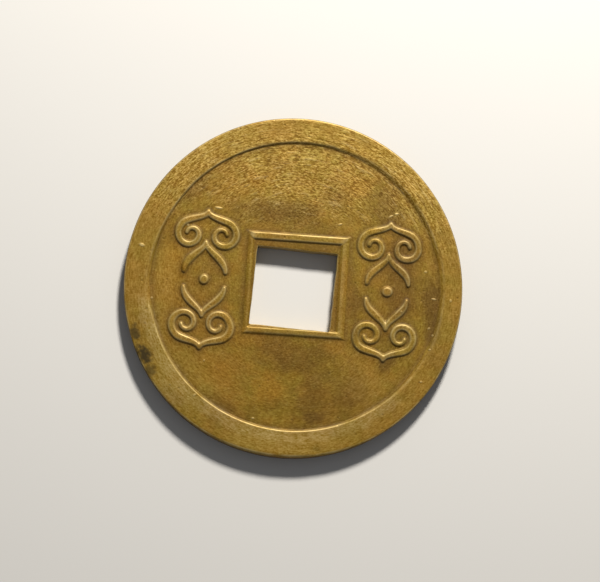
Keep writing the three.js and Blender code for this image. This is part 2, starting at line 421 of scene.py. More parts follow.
class BrassFinish(bpy.types.PropertyGroup):
    """The coin's colours and surface."""

    olive: colour("Olive", linear(131, 105, 29), "Main patina")
    ochre: colour("Ochre", linear(135, 102, 31), "Warmer patina")
    # Rubbed brass, also used as a painted sheen where the upper half glints
    yellow: colour("Yellow", linear(162, 133, 58), "Rubbed, sparkling brass")
    brown: colour("Brown", linear(89, 62, 13), "Dark cloudy patina")
    orange: colour("Orange", linear(154, 107, 24), "Orange-brown patina")
    # Dark dirt; the same colour also paints shade at the feet of raised walls and on the rounded
    # outer edge and side
    dirt: colour("Dirt", linear(50, 30, 8), "What has settled in corners and pits")
    stain: colour("Stain", linear(40, 32, 8), "Black-green spots")
    # Bare metal at worn edges; the same colour also paints highlights on edges, the rim's lip,
    # specks and nicks
    bright: colour("Bright", linear(206, 186, 130), "Edges that wear keeps bare")
    roughness: share("Roughness", 0.5, "Of the patina")
    metallic: share("Metallic", 0.38, "Of the patina")
    specular: share("Specular", 0.3, "Strength of the reflection that the metal doesn't tint")
    grain: length("Grain", 0.052, "Width of the surface's grain")
    grain_height: length("Grain height", 0.016, "How far the grain stands up")
    grain_shade: share("Grain shade", 0.85, "How much the grain changes the colour")


class StageSettings(bpy.types.PropertyGroup):
    """Floor, light and camera."""

    floor: colour("Floor", (0.66, 0.655, 0.64), "Colour of the floor")
    floor_roughness: share("Floor roughness", 0.85, "Of the matt floor")
    floor_size: length("Floor size", 1600, "Side of the floor")
    key_turn: angle("Key turn", 79, "Direction of the key light, from +X towards +Y")
    key_rise: angle("Key rise", 40.5, "Height of the key light above the floor")
    key_distance: length("Key distance", 165, "From the coin to the key light")
    key_size: length("Key size", 26, "Width of the key light")
    key_power: number("Key power", 0.45, "In watts")
    key_colour: colour("Key colour", (1.0, 0.95, 0.87), "A warm white")
    fill: number("Fill", 0.16, "Strength of the light from all round")
    fill_colour: colour("Fill colour", (0.96, 0.97, 1.0), "A nearly neutral white")
    camera_turn: angle("Camera turn", -108.34, "Direction of the camera, from +X towards +Y")
    camera_rise: angle("Camera rise", 82.0, "Height of the camera above the floor")
    camera_roll: angle("Camera roll", 22.195, "Turn of the picture about the line of sight")
    camera_distance: length("Camera distance", 149.98, "From the aim to the camera")
    aim_x: length("Aim X", 0.482, "The point in the middle of the picture")
    aim_y: length("Aim Y", -0.213, "The point in the middle of the picture")
    aim_z: length("Aim Z", 0.65, "The point in the middle of the picture")
    lens: FloatProperty(
        name="Lens", description="Focal length", default=128.25, unit="CAMERA", precision=2
    )


class CashCoinSettings(bpy.types.PropertyGroup):
    """All settings of the coin and its stage."""

    coin: PointerProperty(name="Coin", description="Sizes of the coin", type=CoinSizes)
    scrolls: PointerProperty(name="Scrolls", description="The scrolls", type=ScrollSizes)
    wear: PointerProperty(name="Wear", description="Unevenness", type=WearAmounts)
    brass: PointerProperty(name="Brass", description="Colours and surface", type=BrassFinish)
    stage: PointerProperty(name="Stage", description="Floor, light, camera", type=StageSettings)


def in_millimetres(settings):
    """A group of settings as plain values, its lengths in millimetres."""
    values = SimpleNamespace()
    for name, rule in settings.bl_rna.properties.items():
        if rule.type == "FLOAT":
            value = getattr(settings, name)
            setattr(values, name, value / MM if rule.unit == "LENGTH" else value)
    return values


# Uneven forms


def gentle_waves(points, wavelength, seed):
    """Smooth unevenness of about -1 to 1 over an array of points: crossing waves."""
    random = np.random.default_rng(seed)
    total = np.zeros(len(points))
    for _ in range(WAVES):
        turn = random.uniform(0, 2 * math.pi)
        wave_number = 2 * math.pi / (wavelength * random.uniform(*WAVE_SPREAD))
        direction = np.array([math.cos(turn), math.sin(turn)]) * wave_number
        total += np.sin(points @ direction + random.uniform(0, 2 * math.pi))
    return total / math.sqrt(WAVES)


def smooth_step(low, high, values):
    """0 below low, 1 above high, and a smooth rise between."""
    share_of_way = np.clip((values - low) / (high - low), 0, 1)
    return share_of_way * share_of_way * (3 - 2 * share_of_way)


def hill(values, middle, width):
    """1 where a value is at the middle, falling off over the width."""
    return np.exp(-(((values - middle) / width) ** 2))


# Scrolls: how deep a point lies inside the foot line of a raised stroke


def bezier(points, steps):
    """A cubic curve as a list of points."""
    shares = np.linspace(0, 1, steps + 1)[:, None]
    start, pull, draw, end = (np.array(p) for p in points)
    rest = 1 - shares
    near = rest**3 * start + 3 * rest**2 * shares * pull
    return near + 3 * rest * shares**2 * draw + shares**3 * end


def volute_reach(scrolls):
    """Radius of a volute at its outer end."""
    return scrolls.eye + scrolls.turns * (scrolls.stroke + scrolls.turn_gap)


def volute_route(scrolls, reach, spread):
    """The route of a volute from its outer end in to its eye."""
    shares = np.linspace(0, 1, VOLUTE_STEPS + 1)
    turn = scrolls.start - 2 * math.pi * scrolls.turns * shares
    radius = reach + (scrolls.eye - reach) * shares
    return np.stack([spread + radius * np.cos(turn), scrolls.rise + radius * np.sin(turn)], 1)


def point_route(scrolls, reach, joint):
    """The route from a head's point, like the side of an onion dome, to its volute."""
    tip = scrolls.rise + reach + scrolls.point
    back = reach * JOINT_BACK
    first = (reach * POINT_OUT, tip - scrolls.point * POINT_DOWN)
    second = (
        joint[0] - back * math.sin(scrolls.start),
        joint[1] + back * math.cos(scrolls.start),
    )
    return bezier(((0, tip), first, second, joint), POINT_STEPS)


def tendril_route(scrolls):
    """The route of a tendril from its root under the head to its tip."""
    root = np.array([0, scrolls.rise - scrolls.root_gap])
    foot = np.array([0, scrolls.lift])
    reach = np.array([scrolls.spread, root[1] - scrolls.lift])
    first = foot + reach * ROOT_HANDLE
    second = foot + reach * TIP_HANDLE
    tip = np.array([scrolls.spread, scrolls.lift])
    return bezier((root, first, second, tip), TENDRIL_STEPS)


def half_widths(route, scrolls, start, swell):
    """Half a stroke's width along its route: full at the share "swell", less at both ends."""
    steps = np.linalg.norm(np.diff(route, axis=0), axis=1)
    along = np.concatenate([[0], np.cumsum(steps)]) / steps.sum()
    rise = np.sin(np.clip(along / swell, 0, 1) * math.pi / 2)
    fall = np.cos(np.clip((along - swell) / (1 - swell), 0, 1) * math.pi / 2)
    rising = start + (scrolls.stroke - start) * rise
    falling = scrolls.tip + (scrolls.stroke - scrolls.tip) * fall
    return np.where(along < swell, rising, falling) / 2


def stroke_depth(points, route, widths):
    """How deep each point lies inside a stroke: negative outside of it."""
    depth = np.full(len(points), -np.inf)
    for start, end, wide, narrow in zip(route, route[1:], widths, widths[1:]):
        along = end - start
        way = np.clip((points - start) @ along / (along @ along), 0, 1)
        distance = np.linalg.norm(points - start - way[:, None] * along, axis=1)
        depth = np.maximum(depth, wide + (narrow - wide) * way - distance)
    return depth


def sprig_depth(points, scrolls):
    """The same for the right half of a sprig that points along +Y, its foot at 0, 0."""
    reach = volute_reach(scrolls)
    volute = volute_route(scrolls, reach, reach + scrolls.middle_gap)
    head = np.concatenate([point_route(scrolls, reach, volute[0])[:-1], volute])
    tendril = tendril_route(scrolls)
    point_width = scrolls.stroke * HEAD_POINT_WIDTH
    head_widths = half_widths(head, scrolls, point_width, HEAD_SWELL)
    tendril_widths = half_widths(tendril, scrolls, scrolls.tip, TENDRIL_SWELL)
    return np.maximum(
        stroke_depth(points, head, head_widths), stroke_depth(points, tendril, tendril_widths)
    )


def pellet_depth(points, scrolls, rise):
    """The same for a round pellet on a sprig's middle line."""
    return scrolls.pellet - np.linalg.norm(points - [0, rise], axis=1)


def upper_scrolls_depth(points, coin, scrolls):
    """Upper face: on each side of the frame two sprigs foot to foot, a pellet between."""
    half_width = 2 * volute_reach(scrolls) + scrolls.middle_gap + scrolls.stroke / 2
    column = frame_half(coin) + scrolls.column_gap + half_width
    across = np.abs(np.abs(points[:, 0]) - column)
    folded = np.stack([across, np.abs(points[:, 1])], 1)
    return np.maximum(sprig_depth(folded, scrolls), pellet_depth(folded, scrolls, 0))


def underside_scrolls_depth(points, coin, scrolls):
    """Underside: one sprig with a pellet at its foot on each of the frame's four sides."""
    foot = frame_half(coin) + scrolls.underside_foot
    sides = np.abs(points)
    folded = np.stack([sides.min(axis=1), sides.max(axis=1) - foot], 1)
    pellet = pellet_depth(folded, scrolls, scrolls.underside_pellet)
    return np.maximum(sprig_depth(folded, scrolls), pellet)


# Relief: the height of the struck forms above their field


def frame_inner(coin):
    """How far the four sides of the frame's inner foot line stand from the design's middle."""
    return Sides(*(coin.frame / 2 + shift for shift in FRAME_INNER_SHIFTS))


def frame_outer(coin):
    """The same for the outer foot line."""
    return Sides(*(frame_half(coin) + shift for shift in FRAME_OUTER_SHIFTS))


def frame_half(coin):
    """Half the side of the square frame at its outer foot, as planned."""
    return coin.frame / 2 + coin.bar


def depth_inside(points, sides, slopes, coin):
    """How deep each point lies inside a square with these four sides.

    A wall that leans out further counts as a plain one, stretched: its depths are less.
    """
    x, y = points[:, 0], points[:, 1]
    depths = (sides.east - x, sides.north - y, sides.west + x, sides.south + y)
    return np.minimum.reduce([d * coin.wall_slope / s for d, s in zip(depths, slopes)])


def steepness_of_rim(points, coin):
    """How upright the rim's inner wall stands in a point's direction: 1 as planned."""
    angles, slopes = np.transpose(RIM_SLOPES)
    turn = np.degrees(np.arctan2(points[:, 1], points[:, 0])) % 360
    return coin.wall_slope / np.interp(turn, angles, slopes)


def steepness_of_frame(points, coin):
    """The same for the frame's outer walls, by the side on which a point lies."""
    is_beside = np.abs(points[:, 0]) > np.abs(points[:, 1])
    slopes = FRAME_OUTER_SLOPES
    across = np.where(points[:, 0] > 0, slopes.east, slopes.west)
    along = np.where(points[:, 1] > 0, slopes.north, slopes.south)
    return coin.wall_slope / np.where(is_beside, across, along)


def depth_in_rim(points, coin):
    """How deep each point lies inside the foot line of the rim's inner wall."""
    depth = np.linalg.norm(points, axis=1) - rim_foot(coin)
    return depth * steepness_of_rim(points, coin)


def rim_foot(coin):
    """Radius at which the rim's inner wall meets the field."""
    return coin.diameter / 2 - coin.rim_width - coin.wall_slope


def raised_profile(depth, coin, wear):
    """Height, as a share, of raised metal at a depth inside its foot line."""
    wall = smooth_step(-wear.soft, coin.wall_slope + wear.soft, depth)
    full = coin.bar / 2
    crown = 1 - wear.crown * (1 - np.sqrt(np.clip(depth / full, 0, 1)))
    return wall * crown


def scroll_depth(points, settings, is_upper):
    """Depth inside the scrolls of one face, with the small errors of a hand-cut die."""
    coin, scrolls, wear = settings.coin, settings.scrolls, settings.wear
    seed = STROKE_SEED + int(is_upper)
    centred = points - die_middle(coin)
    seeds = (seed, seed + SECOND_DIRECTION)
    stray = np.stack([gentle_waves(centred, HAND_WAVE, each) for each in seeds], 1)
    cut = centred + wear.hand * stray
    if is_upper:
        return upper_scrolls_depth(cut, coin, scrolls)
    return underside_scrolls_depth(cut, coin, scrolls)


# Of each point: its height above the field, its depth inside the nearest raised form, how
# upright that form's wall stands, and whether it lies on the ledge inside the frame
Relief = namedtuple("Relief", "height depth steep ledge")


def struck_relief(points, settings, is_upper):
    """The relief of one face."""
    coin, wear = settings.coin, settings.wear
    centred = points - die_middle(coin)
    rim = depth_in_rim(centred, coin)
    inside = depth_inside(centred, frame_inner(coin), FRAME_INNER_SLOPES, coin)
    outside = depth_inside(centred, frame_outer(coin), FRAME_OUTER_SLOPES, coin)
    bars = np.minimum(-inside, outside)
    scrolls = scroll_depth(points, settings, is_upper)
    ornament = np.maximum(bars, scrolls)
    steep = np.where(bars > scrolls, steepness_of_frame(centred, coin), 1)
    steep = np.minimum(np.where(rim > ornament, steepness_of_rim(centred, coin), steep), 1)
    raised = (coin.relief - coin.setback) * raised_profile(ornament, coin, wear)
    rim_wall = smooth_step(-wear.soft, coin.wall_slope + wear.soft, rim)
    seed = FIELD_SEED + int(is_upper)
    uneven = wear.field * gentle_waves(points, wear.field_wave, seed)
    worn = wear.rim * (0.5 + 0.5 * gentle_waves(points, wear.field_wave, seed + RIM_WEAR))
    top = coin.relief - np.clip(worn, 0, None)
    height = np.maximum(raised + uneven, rim_wall * top + (1 - rim_wall) * uneven)
    if is_upper:
        height = height - dents(points, UPPER_DENTS)
    ledge = smooth_step(0, coin.wall_slope, inside)
    return Relief(np.minimum(height, coin.relief), np.maximum(ornament, rim), steep, ledge)


def dents(points, marks):
    """Depth of the larger marks in a face."""
    depth = np.zeros(len(points))
    for mark in marks:
        distance = np.linalg.norm(points - [mark.x, mark.y], axis=1)
        depth += mark.depth * hill(distance, 0, mark.radius)
    return depth


# Rings of the coin's mesh, seen from above


def die_middle(coin):
    """The middle of the struck design."""
    return np.array([coin.die_x, coin.die_y])


def column_angles():
    """The direction of each column of the mesh."""
    return np.arange(COLUMNS) * (2 * math.pi / COLUMNS)


def round_directions():
    """The columns on the unit circle."""
    turn = column_angles()
    return np.stack([np.cos(turn), np.sin(turn)], 1)


def square_directions():
    """The columns on a square of half side 1, evenly spaced along its sides."""
    turn = column_angles()
    side = np.floor(turn / (math.pi / 2) + 0.5) * (math.pi / 2)
    across = (turn - side) / (math.pi / 4)
    return np.stack(
        [np.cos(side) - across * np.sin(side), np.sin(side) + across * np.cos(side)], 1
    )


def hole_turn_matrix(coin):
    """Turns a row of coordinates from the hole's own directions to the coin's."""
    cosine, sine = math.cos(coin.hole_turn), math.sin(coin.hole_turn)
    return np.array([[cosine, sine], [-sine, cosine]])


def hole_middle(coin):
    """The middle of the punched hole."""
    return die_middle(coin) + np.array([coin.hole_x, coin.hole_y])


def hole_half_sides(coin, wear):
    """Half the hole's width and height at each column, as uneven as the punch left it."""
    plain = np.array([coin.hole_width, coin.hole_height]) / 2
    uneven = wear.hole * gentle_waves(square_directions() * plain, HOLE_WAVE, HOLE_SEED)
    return plain + uneven[:, None]


def hole_ring(coin, halves, offset):
    """The hole's outline with rounded corners, moved out by an offset."""
    corner = coin.hole_corner + offset
    sides = halves + offset
    points = square_directions() * sides
    flat = sides - corner
    core = np.clip(points, -flat, flat)
    reach = points - core
    rounded = core + corner * reach / np.linalg.norm(reach, axis=1, keepdims=True)
    return rounded @ hole_turn_matrix(coin) + hole_middle(coin)


def clear_of_hole(points, coin, least):
    """A ring's points, moved out where the askew hole would reach over them."""
    own = (points - hole_middle(coin)) @ hole_turn_matrix(coin).T
    share_of_hole = (np.abs(own) / least).max(axis=1)
    moved = own * (np.maximum(share_of_hole, 1) / share_of_hole)[:, None]
    return moved @ hole_turn_matrix(coin) + hole_middle(coin)


def flan_ring(coin, offset):
    """The flan's outline, slightly out of round, moved in by an offset."""
    turn = column_angles() - coin.narrow_turn
    oval = coin.out_of_round * (0.5 + 0.5 * np.cos(2 * turn))
    square = coin.squareness * (0.5 + 0.5 * np.cos(4 * turn))
    radius = coin.diameter / 2 - oval - square - offset
    return round_directions() * radius[:, None]


def between(first, last, rows):
    """Rings between two rings, without the two themselves."""
    return [first + (last - first) * (row / (rows + 1)) for row in range(1, rows + 1)]


# A ring seen from above, how far it lies below the rim's level through a rounded edge, and
# how far out it moves when that edge is unrolled
Ring = namedtuple("Ring", "plan drop unroll")


def hole_edge_rings(coin, halves):
    """From the hole's wall out over its rounded edge."""
    rings = []
    for row in range(HOLE_EDGE_ROWS + 1):
        turn = (math.pi / 2) * (1 - row / HOLE_EDGE_ROWS)
        offset = coin.hole_edge * (1 - math.sin(turn))
        drop = coin.hole_edge * (1 - math.cos(turn))
        unroll = -coin.hole_edge * (turn - math.sin(turn))
        rings.append(Ring(hole_ring(coin, halves, offset), drop, unroll))
    return rings


def square_ring(coin, sides, step):
    """A ring along a foot line of the frame, moved out from it by a step."""
    directions = square_directions()
    outward = np.where(directions > 0, [sides.east, sides.north], [sides.west, sides.south])
    return die_middle(coin) + directions * (outward + step)


def frame_rings(coin, halves):
    """Over the square frame, with rows on both its walls."""
    rings = [square_ring(coin, frame_inner(coin), step) for step in WALL_STEPS]
    rings += [square_ring(coin, frame_outer(coin), -step) for step in reversed(WALL_STEPS)]
    edge = halves + coin.hole_edge + (LEDGE_ROWS + 1) * ROW_GAP
    return [clear_of_hole(ring, coin, edge + row * ROW_GAP) for row, ring in enumerate(rings)]


def rim_wall_rings(coin):
    """Up the rim's inner wall."""
    reaches = [rim_foot(coin) + step for step in WALL_STEPS]
    return [die_middle(coin) + round_directions() * reach for reach in reaches]


def edge_radii(coin, turn):
    """The radius of the rounded outer edge in each direction."""
    worn = np.exp((np.cos(turn - coin.edge_turn) - 1) / coin.edge_reach)
    return coin.edge_rounding + coin.edge_worn * worn


def outer_edge_rings(coin):
    """From the rim's flat out over the rounded outer edge to the coin's side."""
    rings = []
    radii = edge_radii(coin, column_angles())
    for row in range(EDGE_ROWS + 1):
        turn = (math.pi / 2) * (row / EDGE_ROWS)
        drop = radii * (1 - math.cos(turn))
        unroll = radii * (turn - math.sin(turn))
        rings.append(Ring(flan_ring(coin, radii * (1 - math.sin(turn))), drop, unroll))
    return rings


def face_rings(coin, wear):
    """All rings of one face, from the hole's wall out to the coin's side."""
    halves = hole_half_sides(coin, wear)
    hole_edge = hole_edge_rings(coin, halves)
    bars = frame_rings(coin, halves)
    rim_wall = rim_wall_rings(coin)
    outer_edge = outer_edge_rings(coin)
    flat = [
        *between(hole_edge[-1].plan, bars[0], LEDGE_ROWS),
        *bars,
        *between(bars[-1], rim_wall[0], FIELD_ROWS),
        *rim_wall,
        *between(rim_wall[-1], outer_edge[0].plan, RIM_ROWS),
    ]
    return [*hole_edge, *(Ring(plan, 0, 0) for plan in flat), *outer_edge]


# The coin's mesh

# The same with its share of the upper face: 1 on it, 0 on the underside
MeshRing = namedtuple("MeshRing", "plan upper drop unroll")


def wall_rings(edge, unrolled_height):
    """The rings of an upright wall, from below its upper edge to above its lower one.

    Half of the wall unrolls with each face: outwards at the coin's side, inwards in the hole.
    """
    rings = []
    for row in range(1, WALL_ROWS + 1):
        upper = 1 - row / (WALL_ROWS + 1)
        unroll = edge.unroll + unrolled_height * min(upper, 1 - upper)
        rings.append(MeshRing(edge.plan, upper, edge.drop, unroll))
    return rings


def coin_rings(coin, wear):
    """Rings round the whole section of the coin: upper face, side, underside, hole."""
    face = face_rings(coin, wear)
    upper = [MeshRing(ring.plan, 1, ring.drop, ring.unroll) for ring in face]
    lower = [MeshRing(ring.plan, 0, ring.drop, ring.unroll) for ring in reversed(face)]
    side = wall_rings(face[-1], coin.thickness - 2 * edge_radii(coin, column_angles()))
    hole = wall_rings(face[0], 2 * (coin.relief + coin.hole_edge) - coin.thickness)
    return [*upper, *side, *lower, *reversed(hole)]


def closed_grid(rings, heights):
    """A bmesh of four-sided faces through all rings, closed both ways like a tube."""
    mesh = bmesh.new()
    layers = [mesh.verts.layers.float.new(name) for name in ("upper", "drop", "unroll")]
    grid = []
    for ring, ring_heights in zip(rings, heights):
        kept = np.column_stack([np.broadcast_to(value, COLUMNS) for value in ring[1:]])
        row = []
        for (x, y), z, values in zip(ring.plan.tolist(), ring_heights.tolist(), kept.tolist()):
            vertex = mesh.verts.new((x, y, z))
            for layer, value in zip(layers, values):
                vertex[layer] = value
            row.append(vertex)
        grid.append(row)
    for row, below in zip(grid, grid[1:] + grid[:1]):
        for column in range(COLUMNS):
            after = (column + 1) % COLUMNS
            mesh.faces.new((row[column], below[column], below[after], row[after]))
    return mesh


def cut_contours(mesh):
    """Cuts the faces along lines of equal depth inside the scrolls.

    Each vertex stands as high as it is deep inside a scroll's foot line, so a level cut
    runs along the stroke, and the strokes' walls get clean edges on a coarse grid.
    """
    for level in CONTOURS:
        bmesh.ops.bisect_plane(
            mesh,
            geom=[*mesh.verts, *mesh.edges, *mesh.faces],
            dist=CUT_TOLERANCE,
            plane_co=(0, 0, level),
            plane_no=(0, 0, 1),
        )
    many_sided = [face for face in mesh.faces if len(face.verts) > 4]
    bmesh.ops.triangulate(mesh, faces=many_sided)


def point_values(mesh, name):
    """A float attribute of a mesh's points as an array."""
    values = np.zeros(len(mesh.vertices), np.float32)
    mesh.attributes[name].data.foreach_get("value", values)
    return values.astype(float)


def store_values(mesh, name, values):
    """Writes a float attribute of a mesh's points."""
    attribute = mesh.attributes.new(name, "FLOAT", "POINT")
    attribute.data.foreach_set("value", values.astype(np.float32))


def plan_of(mesh):
    """A mesh's points seen from above."""
    places = np.zeros(3 * len(mesh.vertices), np.float32)
    mesh.vertices.foreach_get("co", places)
    return places.reshape(-1, 3)[:, :2].astype(float)


def share_of_edge(plan, drop, coin):
    """How far down the rounded outer edge each point lies, as a share; 0 at the hole."""
    turn = np.arctan2(plan[:, 1], plan[:, 0])
    is_outer = np.linalg.norm(plan, axis=1) > rim_foot(coin)
    return is_outer * drop / edge_radii(coin, turn)


def shape_surface(mesh, settings):
    """Gives every point its height, and stores where metal is raised or hollow, where its edges are
    bare with painted highlight, and where dirt and painted shade lie.
    """
    coin = settings.coin
    plan = plan_of(mesh)
    upper = point_values(mesh, "upper")
    drop = point_values(mesh, "drop")
    top = struck_relief(plan, settings, True)
    bottom = struck_relief(plan, settings, False)
    top_height = coin.thickness - coin.relief + top.height - drop
    bottom_height = coin.relief - bottom.height + drop
    heights = upper * top_height + (1 - upper) * bottom_height
    mesh.vertices.foreach_set("co", (np.column_stack([plan, heights]) * MM).ravel())
    face = Relief(*(np.where(upper > 0.5, over, under) for over, under in zip(top, bottom)))
    on_face = drop == 0
    # Dirt at the feet of raised walls, which the material also darkens as painted shade
    store_values(mesh, "recess", on_face * face.steep * hill(face.depth, *FOOT_DIRT_AND_SHADE))
    store_values(mesh, "raised", on_face * smooth_step(*RAISED_RISE, face.depth))
    fallen = share_of_edge(plan, drop, coin)
    # Worn bare metal on the outer edge and on wall tops, lightened partly as painted highlight
    rounded = (drop > 0) * (1 - smooth_step(*BARE_AND_HIGHLIGHT_FADE, fallen))
    top_line = hill(face.depth, BARE_AND_HIGHLIGHT_TOP.depth, BARE_AND_HIGHLIGHT_TOP.reach * face.steep)
    store_values(mesh, "edge", np.maximum(on_face * face.steep * top_line, rounded))
    # Painted shade: darker down the rounded outer edge and over the coin's side wall
    store_values(mesh, "side", smooth_step(*SIDE_SHADE_RISE, fallen))
    # Brown in the hollows round raised forms, partly patina and partly painted shade, and patina on
    # the ledge inside the frame
    outside = np.minimum(face.depth, 0) / face.steep
    hollow = hill(outside, *SHADED_HOLLOW) * (face.depth < HOLLOW_ENDS)
    store_values(mesh, "hollow", on_face * np.maximum(hollow, face.ledge))


def unroll_faces(mesh, coin):
    """UVs: each face with half of both walls as one disc, the two discs side by side."""
    plan = plan_of(mesh) / MM
    upper = point_values(mesh, "upper")
    unroll = point_values(mesh, "unroll")
    distance = np.linalg.norm(plan, axis=1)
    flat = plan * ((distance + unroll) / distance)[:, None]
    largest = coin.diameter / 2 + unroll.max()
    disc = (1 - UV_MARGIN) / (2 + math.sqrt(2))
    corners = np.zeros(len(mesh.loops), np.int32)
    mesh.loops.foreach_get("vertex_index", corners)
    starts = np.zeros(len(mesh.polygons), np.int32)
    mesh.polygons.foreach_get("loop_start", starts)
    sizes = np.zeros(len(mesh.polygons), np.int32)
    mesh.polygons.foreach_get("loop_total", sizes)
    means = np.add.reduceat(upper[corners], starts) / sizes
    is_upper = np.repeat(means > 0.5, sizes)[:, None]
    low = disc + UV_MARGIN / 4
    middle = np.where(is_upper, low, 1 - low)
    mirrored = np.where(is_upper, [1, 1], [1, -1])
    places = middle + flat[corners] * mirrored * (disc / largest)
    layer = mesh.uv_layers.new(name=UV_NAME)
    layer.data.foreach_set("uv", places.astype(np.float32).ravel())


def coin_mesh(settings):
    """The whole coin as one closed mesh."""
    coin = settings.coin
    rings = coin_rings(coin, settings.wear)
    heights = [scroll_depth(ring.plan, settings, ring.upper > 0.5) for ring in rings]
    grid = closed_grid(rings, heights)
    cut_contours(grid)
    mesh = bpy.data.meshes.new("struck_coin")
    grid.to_mesh(mesh)
    grid.free()
    shape_surface(mesh, settings)
    unroll_faces(mesh, coin)
    for helper in ("upper", "drop", "unroll"):
        mesh.attributes.remove(mesh.attributes[helper])
    mesh.shade_smooth()
    mesh.update()
    return mesh


# Materials: small helpers that add nodes to a tree


def add_node(tree, kind, inputs=None, **settings):
    """Adds a node, sets it up, and links or sets its inputs by name or number."""
    node = tree.nodes.new(kind)
    count = len(tree.nodes)
    column, row = count % NODES_IN_ROW, count // NODES_IN_ROW
    node.location = (NODE_WIDTH * column, -NODE_HEIGHT * row)
    for name, value in settings.items():
        setattr(node, name, value)
    for name, value in (inputs or {}).items():
        if isinstance(value, bpy.types.NodeSocket):
            tree.links.new(value, node.inputs[name])
        else:
            node.inputs[name].default_value = value
    return node


def calculate(tree, operation, *values, clamp=False):
    """The result of a Math node."""
    inputs = dict(enumerate(values))
    return add_node(tree, "ShaderNodeMath", inputs, operation=operation, use_clamp=clamp).outputs[0]


def calculate_vector(tree, operation, *values):
    """The result of a Vector Math node."""
    return add_node(tree, "ShaderNodeVectorMath", dict(enumerate(values)), operation=operation)


def rise_between(tree, value, low, high, start=0.0, end=1.0):
    """A smooth change from start to end while the value goes from low to high."""
    inputs = {"Value": value, "From Min": low, "From Max": high, "To Min": start, "To Max": end}
    node = add_node(tree, "ShaderNodeMapRange", inputs, interpolation_type="SMOOTHSTEP")
    return node.outputs["Result"]


def mix_colours(tree, factor, first, second, blend="MIX"):
    """Two colours mixed by a factor."""
    inputs = {0: factor, 6: first, 7: second}
    node = add_node(tree, "ShaderNodeMix", inputs, data_type="RGBA", blend_type=blend)
    return node.outputs[2]


def noise(tree, place, scale, detail=2.0, roughness=0.5):
    """A noise value of about 0.25 to 0.75."""
    inputs = {"Vector": place, "Scale": scale, "Detail": detail, "Roughness": roughness}
    return add_node(tree, "ShaderNodeTexNoise", inputs).outputs["Fac"]


def new_group(name, inputs, outputs):
    """An empty node group with named sockets; returns it with its input and output nodes."""
    tree = bpy.data.node_groups.new(name, "ShaderNodeTree")
    for socket_name, kind, default in inputs:
        socket = tree.interface.new_socket(socket_name, in_out="INPUT", socket_type=kind)
        if default is not None:
            socket.default_value = default
    for socket_name in outputs:
        tree.interface.new_socket(socket_name, in_out="OUTPUT", socket_type="NodeSocketFloat")
    entry = add_node(tree, "NodeGroupInput")
    leave = add_node(tree, "NodeGroupOutput")
    return tree, entry.outputs, leave


def place_group(tree, group, inputs):
    """Places a node group in a tree and returns its outputs."""
    return add_node(tree, "ShaderNodeGroup", inputs, node_tree=group).outputs


def patch_group():
    """A soft-edged, ragged oval."""
    tree, given, leave = new_group(
        "Ragged Patch",
        (
            ("Place", "NodeSocketVector", None),
            ("Middle", "NodeSocketVector", None),
            ("Reach", "NodeSocketVector", (1, 1, 1)),
            ("Turn", "NodeSocketFloat", 0.0),
            ("Ragged", "NodeSocketFloat", 0.0),
        ),
        ("Mask",),
    )
    offset = calculate_vector(tree, "SUBTRACT", given["Place"], given["Middle"]).outputs[0]
    turn = calculate(tree, "MULTIPLY", given["Turn"], -1.0)
    inputs = {"Vector": offset, "Angle": turn}
    turned = add_node(tree, "ShaderNodeVectorRotate", inputs, rotation_type="Z_AXIS")
    scaled = calculate_vector(tree, "DIVIDE", turned.outputs[0], given["Reach"]).outputs[0]
    distance = calculate_vector(tree, "LENGTH", scaled).outputs["Value"]
    edge = calculate(tree, "ADD", distance, given["Ragged"])
    mask = rise_between(tree, edge, *PATCH_FADE, start=1.0, end=0.0)
    tree.links.new(mask, leave.inputs["Mask"])
    return tree


def mottle_group():
    """Cloudy variation."""
    tree, given, leave = new_group(
        "Mottle",
        (
            ("Place", "NodeSocketVector", None),
            ("Size", "NodeSocketFloat", 1.0),
            ("Low", "NodeSocketFloat", 0.4),
            ("High", "NodeSocketFloat", 0.6),
        ),
        ("Mask",),
    )
    scale = calculate(tree, "DIVIDE", 1.0, given["Size"])
    value = noise(tree, given["Place"], scale, detail=4.0, roughness=0.6)
    tree.links.new(rise_between(tree, value, given["Low"], given["High"]), leave.inputs["Mask"])
    return tree


def ring_place_group():
    """A place measured round the coin: its direction from the middle, and its distance."""
    tree, given, leave = new_group(
        "Ring Place",
        (("Place", "NodeSocketVector", None), ("Along", "NodeSocketFloat", 1.0)),
        ("X", "Y", "Distance"),
    )
    flat = calculate_vector(tree, "MULTIPLY", given["Place"], (1.0, 1.0, 0.0)).outputs[0]
    direction = calculate_vector(tree, "NORMALIZE", flat).outputs[0]
    parts = add_node(tree, "ShaderNodeSeparateXYZ", {0: direction}).outputs
    rise = add_node(tree, "ShaderNodeSeparateXYZ", {0: given["Place"]}).outputs["Z"]
    distance = calculate_vector(tree, "LENGTH", flat).outputs["Value"]
    tree.links.new(calculate(tree, "MULTIPLY", parts["X"], given["Along"]), leave.inputs["X"])
    tree.links.new(calculate(tree, "MULTIPLY", parts["Y"], given["Along"]), leave.inputs["Y"])
    reach = calculate(tree, "MULTIPLY_ADD", rise, RISE_SHARE, distance)
    tree.links.new(reach, leave.inputs["Distance"])
    return tree


